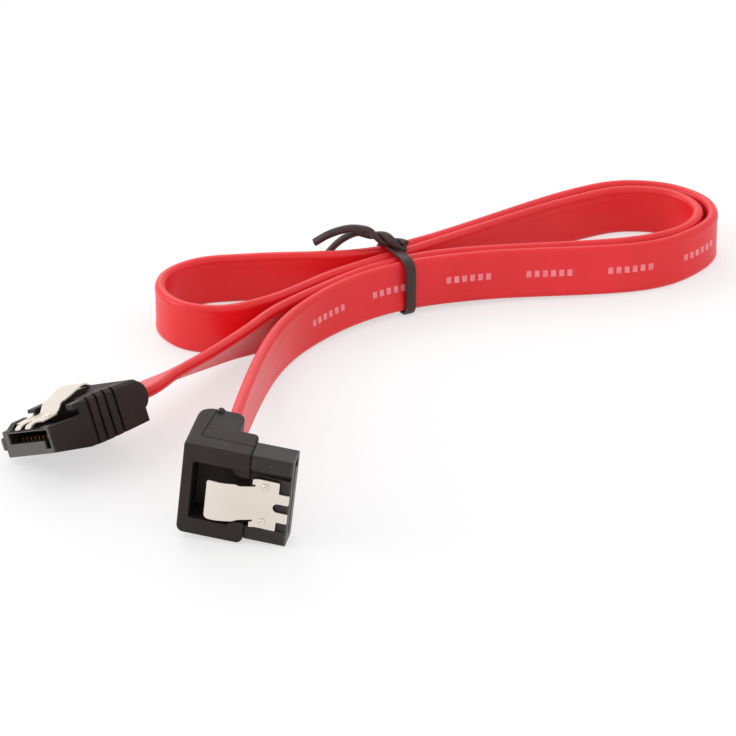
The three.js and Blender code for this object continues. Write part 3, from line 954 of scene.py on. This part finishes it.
def makeAnglePlug():
    s = angleBoot
    recess = head["width"] / 2 - head["rail"]
    channel = block("channel", -head["long"] - 1, -0.25, recess - 0.9, recess, 3.15, 5)
    shell = makeHead("angleHousing", s["slotTop"], recess, (), [channel])
    easeEdges(shell, 0.1)
    smoothFaces(shell)
    seat(shell, anglePlace)
    dress(shell, angleShell, "cable", "shell", "angle_housing")

    left, right, low, top, face = s["left"], s["right"], s["low"], s["top"], s["face"]
    out, back, arm = left + s["exit"], face - s["deep"], face - s["arm"]
    # the L, cut to the outline of its mating side
    boot = prism("angleBoot", softOutline([
        (left, face, 0.45), (left, back, s["backRound"]), (out, back, s["round"]),
        (out, arm, 0.3), (right, arm, 0.9), (right, face, 0.3),
    ], 6), low - 1, top + 1, "y")
    outline = prism("outline", softOutline([
        (left + 0.01, low, 1.1), (right - 0.01, low, 1.0), (right - 0.01, top, 0.35), (left + 0.01, top, 0.5),
    ], 6), -9, 9, "z")
    combine(boot, [outline], "INTERSECT")
    middle, reach, start = head["shift"] / 2, s["windowHalf"], left + s["windowIn"]
    window = prism("window", softOutline([
        (start, middle - reach, 0.25), (right + 1, middle - reach),
        (right + 1, middle + reach), (start, middle + reach, 0.25),
    ], 3), face - s["window"], face + 1, "z")
    combine(boot, [window], "DIFFERENCE")
    ears = []
    for aside, depth in s["ears"]:
        ear = cylinder("ear", (right - 0.75, head["shift"] + aside, face - depth), s["earRound"], s["earLong"],
                       "z", 28, (1.3, 1))
        ears.append(combine(ear, [block("trim", right, right + 4, -9, 9, -9, 9)], "DIFFERENCE"))
    nub = cylinder("nub", (-13.2, top - 0.15, back + 0.5), 0.55, 1.1, "z", 18)
    combine(boot, [*ears, nub], "UNION")
    # fine mould lines on both ends
    path = s["line"]
    combine(boot, [*mouldLine(path, 1, top), *mouldLine(path, -1, low)], "DIFFERENCE")

    def leftSharp(corner):
        # the mould lines, and the ears with the edge beside them
        byEar = corner.x > right - 2.8 and corner.z > face - 2.2 and 3.4 < abs(corner.y - head["shift"]) < 6.7
        return onLine(path, corner) or byEar

    easeEdges(boot, 0.15, 3, leave=leftSharp)
    smoothFaces(boot)
    seat(boot, anglePlace)
    dress(boot, bootBlack, "cable", "boot", "angle_overmould")
    makeLatch("angle", angleLatch, angleSteel, anglePlace, "angle_release")
    makeContacts("angle", anglePlace)


makeStraightPlug()
print("straight plug built")
makeAnglePlug()
print("right-angle plug built")


# twist tie
tie = {
    "x": 37.3, "y": 61.7, "turn": 27, "across": 10, "high": 10.0, "wide": 1.8, "thick": 0.5,
    "roundLow": 1.6, "roundHigh": 2.0, "stripHalf": 0.28, "stripRound": 0.24, "bead": 0.09, "beadWide": 0.3,
    "endWide": 1.4, "endThick": 1.05, "turns": 1.6, "knotTurns": 0.9, "knotRound": 0.55,
    # the loose ends, from the tie's place and top
    "tails": [
        [(-6.0, 2.6, 2.4), (-8.0, 3, 2.2), (-10.8, 3.2, 1.2), (-13.3, 3.6, -0.5)],
        [(-6.0, 3.2, 1.5), (-7.6, 4.2, 0.5), (-9.4, 5.2, -1.2), (-11.6, 6.4, -4.2)],
    ],
}


def tieTree():
    # a flattened strand, swept along a curve and twisted
    tree, given, out = geometryTree("woundStrip", {
        "Route": "Object", "Wide": "Float", "Thick": "Float", "Turns": "Float"})
    nodes, links = tree.nodes, tree.links
    source = nodes.new("GeometryNodeObjectInfo")
    links.new(given.outputs["Route"], source.inputs["Object"])
    fine = nodes.new("GeometryNodeResampleCurve")
    fine.inputs["Count"].default_value = 90
    links.new(source.outputs["Geometry"], fine.inputs["Curve"])
    share = nodes.new("GeometryNodeSplineParameter")
    turn = nodes.new("ShaderNodeMapRange")
    turn.inputs["From Max"].default_value = 0.5
    links.new(share.outputs["Factor"], turn.inputs["Value"])
    links.new(given.outputs["Turns"], turn.inputs["To Max"])
    tilt = nodes.new("GeometryNodeSetCurveTilt")
    links.new(fine.outputs["Curve"], tilt.inputs["Curve"])
    links.new(turn.outputs[0], tilt.inputs["Tilt"])
    section = nodes.new("GeometryNodeCurvePrimitiveCircle")
    section.inputs["Resolution"].default_value = 20
    section.inputs["Radius"].default_value = 0.5
    size = nodes.new("ShaderNodeCombineXYZ")
    size.inputs["Z"].default_value = 1
    links.new(given.outputs["Wide"], size.inputs["X"])
    links.new(given.outputs["Thick"], size.inputs["Y"])
    shape = nodes.new("GeometryNodeTransform")
    links.new(section.outputs["Curve"], shape.inputs["Geometry"])
    links.new(size.outputs["Vector"], shape.inputs["Scale"])
    body = nodes.new("GeometryNodeCurveToMesh")
    body.inputs["Fill Caps"].default_value = True
    links.new(tilt.outputs["Curve"], body.inputs["Curve"])
    links.new(shape.outputs["Geometry"], body.inputs["Profile Curve"])
    return finishTree(tree, out, body.outputs["Mesh"], tieGrey)


def routeCurve(name, points):
    data = bpy.data.curves.new(name, "CURVE")
    data.dimensions = "3D"
    line, _ = smoothLine(points, 6)
    spline = data.splines.new("POLY")
    spline.points.add(len(line) - 1)
    for point, place in zip(spline.points, line):
        point.co = (*place, 1)
    return newObject(name, data)


woundStrip = tieTree()


def makeTie():
    x, y, top = tie["x"], tie["y"], tie["high"]
    w = tie["across"] / 2 + tie["thick"] / 2
    # the band: an eased loop round the stack, in the plane across the cable
    low, high = tie["roundLow"], tie["roundHigh"]
    loop = softOutline([(-w, 0.26, low), (w, 0.26, low), (w, top - 0.25, high), (-w, top - 0.25, high)], 10)
    turn = Matrix.Rotation(math.radians(tie["turn"]), 4, "Z")
    a, b, r = tie["stripHalf"], tie["wide"] / 2, tie["stripRound"]
    ring = softOutline([(-a, -b, r), (a, -b, r), (a, b, r), (-a, b, r)], 3)
    bm = bmesh.new()
    rows = []
    count = len(loop)
    for i in range(count):
        here, before, after = loop[i], loop[i - 1], loop[(i + 1) % count]
        tangent = (after - before).normalized()
        out = Vector((tangent.y, -tangent.x))
        row = []
        for a, b in ring:
            # a bead in the middle of the strip, over its wire
            bead = tie["bead"] * math.exp(-((b / tie["beadWide"]) ** 2)) * (1 if a > 0 else 0)
            across, up = here + out * (a * 0.9 + bead)
            row.append(bm.verts.new(turn @ Vector((b, across, up)) + Vector((x, y, 0))))
        rows.append(row)
    for i in range(count):
        j = (i + 1) % count
        for k in range(len(ring)):
            m = (k + 1) % len(ring)
            bm.faces.new((rows[i][k], rows[i][m], rows[j][m], rows[j][k]))
    band = makeObject("tieBand", bm)
    # the ends wind round each other and part
    start, stop = Vector((x + 1.6, y + 0.3, top + 0.3)), Vector((x - 4.0, y + 2.0, top + 1.8))
    up = Vector((0, 0, 1))
    beside = (stop - start).cross(up).normalized()
    ends = []
    for phase, tail in zip((0, math.pi), tie["tails"]):
        points = []
        for k in range(9):
            a = phase + 2 * math.pi * tie["knotTurns"] * k / 8
            knot = tie["knotRound"] * (up * math.cos(a) + beside * math.sin(a))
            points.append(tuple(start.lerp(stop, k / 8) + knot))
        points += [(x + px, y + py, top + pz) for px, py, pz in tail]
        guide = routeCurve("tieRoute", points)
        ends.append(grow("tieEnd", woundStrip, {
            "Route": guide, "Wide": tie["endWide"], "Thick": tie["endThick"], "Turns": tie["turns"] * math.pi}))
        bpy.data.objects.remove(guide)
    joinMeshes(band, ends)
    shadeSoft(band, 50)
    seat(band, Matrix.Identity(4))
    return dress(band, tieGrey, "cable", "tie", "twist_tie")


twistTie = makeTie()
print("twist tie built")


# floor, world and lamps
studio = {
    "middle": (0.035, 0.035, 0), "floor": (0.93, 0.925, 0.925), "floorSize": 3,
    "floorNear": 0.6, "fadeFrom": 0.085, "fadeTo": 0.2,
    "sky": 0.92,
    "lamps": [
        ("backLamp", (-0.2, 0.8, 0.75), 0.7, 2.2),
        ("leftLamp", (-0.85, 0.0, 0.4), 0.6, 2.4),
    ],
}


def seenStraight(tree):
    # rays from the camera or on from a glossy face
    path = tree.nodes.new("ShaderNodeLightPath")
    return path, sums(tree, "MAXIMUM", path.outputs["Is Camera Ray"], path.outputs["Is Glossy Ray"])


def makeFloor():
    bm = bmesh.new()
    bmesh.ops.create_grid(bm, x_segments=1, y_segments=1, size=studio["floorSize"])
    floor = makeObject("studioFloor", bm)
    made, tree, shader = newMaterial("paleFloor", studio["floor"], 0.75, 0, 0.2)
    nodes, links = tree.nodes, tree.links
    # far from the object and straight at the camera the floor is plain white
    glow = nodes.new("ShaderNodeEmission")
    glow.inputs["Strength"].default_value = 1.0
    place = nodes.new("ShaderNodeTexCoord").outputs["Object"]
    far = nodes.new("ShaderNodeVectorMath")
    far.operation = "DISTANCE"
    links.new(place, far.inputs[0])
    far.inputs[1].default_value = studio["middle"]
    fade = spread(tree, far.outputs["Value"], studio["fadeFrom"], studio["fadeTo"], studio["floorNear"], 1.0)
    _, seen = seenStraight(tree)
    mix = nodes.new("ShaderNodeMixShader")
    links.new(sums(tree, "MULTIPLY", seen, fade), mix.inputs[0])
    links.new(shader.outputs[0], mix.inputs[1])
    links.new(glow.outputs[0], mix.inputs[2])
    links.new(mix.outputs[0], nodes["Material Output"].inputs["Surface"])
    floor.data.materials.append(made)


def makeSky():
    world = bpy.data.worlds.new("studio")
    world.use_nodes = True
    scene.world = world
    tree = world.node_tree
    sky = tree.nodes["Background"]
    sky.inputs["Color"].default_value = (1, 1, 1, 1)
    path, seen = seenStraight(tree)
    seen = sums(tree, "MAXIMUM", seen, path.outputs["Is Transmission Ray"])
    tree.links.new(spread(tree, seen, 0, 1, studio["sky"], 1.0), sky.inputs["Strength"])


def makeLamp(name, place, size, power):
    data = bpy.data.lights.new(name, "AREA")
    data.shape = "DISK"
    data.size = size
    data.energy = power
    lamp = newObject(name, data)
    lamp.location = place
    ray = Vector(studio["middle"]) - Vector(place)
    lamp.rotation_euler = ray.to_track_quat("-Z", "Y").to_euler()


makeFloor()
makeSky()
for lampRow in studio["lamps"]:
    makeLamp(*lampRow)
scene.view_settings.view_transform = "Standard"
print("studio ready")
